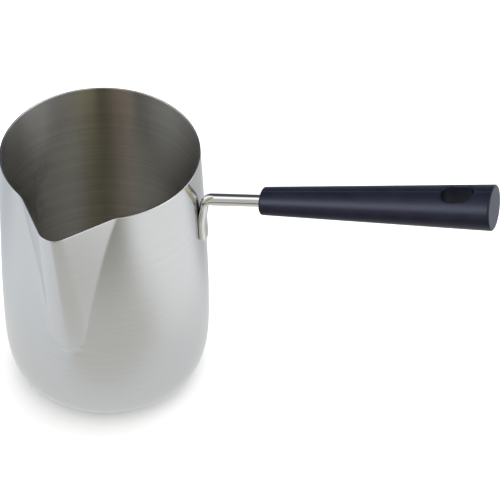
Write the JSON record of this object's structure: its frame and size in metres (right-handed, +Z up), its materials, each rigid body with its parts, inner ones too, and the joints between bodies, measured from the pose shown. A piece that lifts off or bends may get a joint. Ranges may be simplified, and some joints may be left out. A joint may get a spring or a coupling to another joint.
{
  "type": "melting pot",
  "caption": "Steel pouring pot for melting wax, with a pressed spout at a quarter turn from a rod handle that rises to a tapered moulded grip with a hanging slot.",
  "frame": {"origin": "middle of the pot's flat base", "axes": "+Z up along the pot's axis, +X out along the handle, the spout points close to -Y"},
  "size_m": [0.2436, 0.1168, 0.1541],
  "materials": {
    "pot_steel": "satin brushed outside, spun rings inside",
    "rod_steel": "polished stainless steel",
    "weld": "heat tinted",
    "grip_plastic": "fine satin moulding"
  },
  "bodies": {
    "root": {"pot_body": "pot_steel", "handle_rod": "rod_steel", "spot_weld": "weld", "grip": "grip_plastic"}
  },
  "joints": []
}
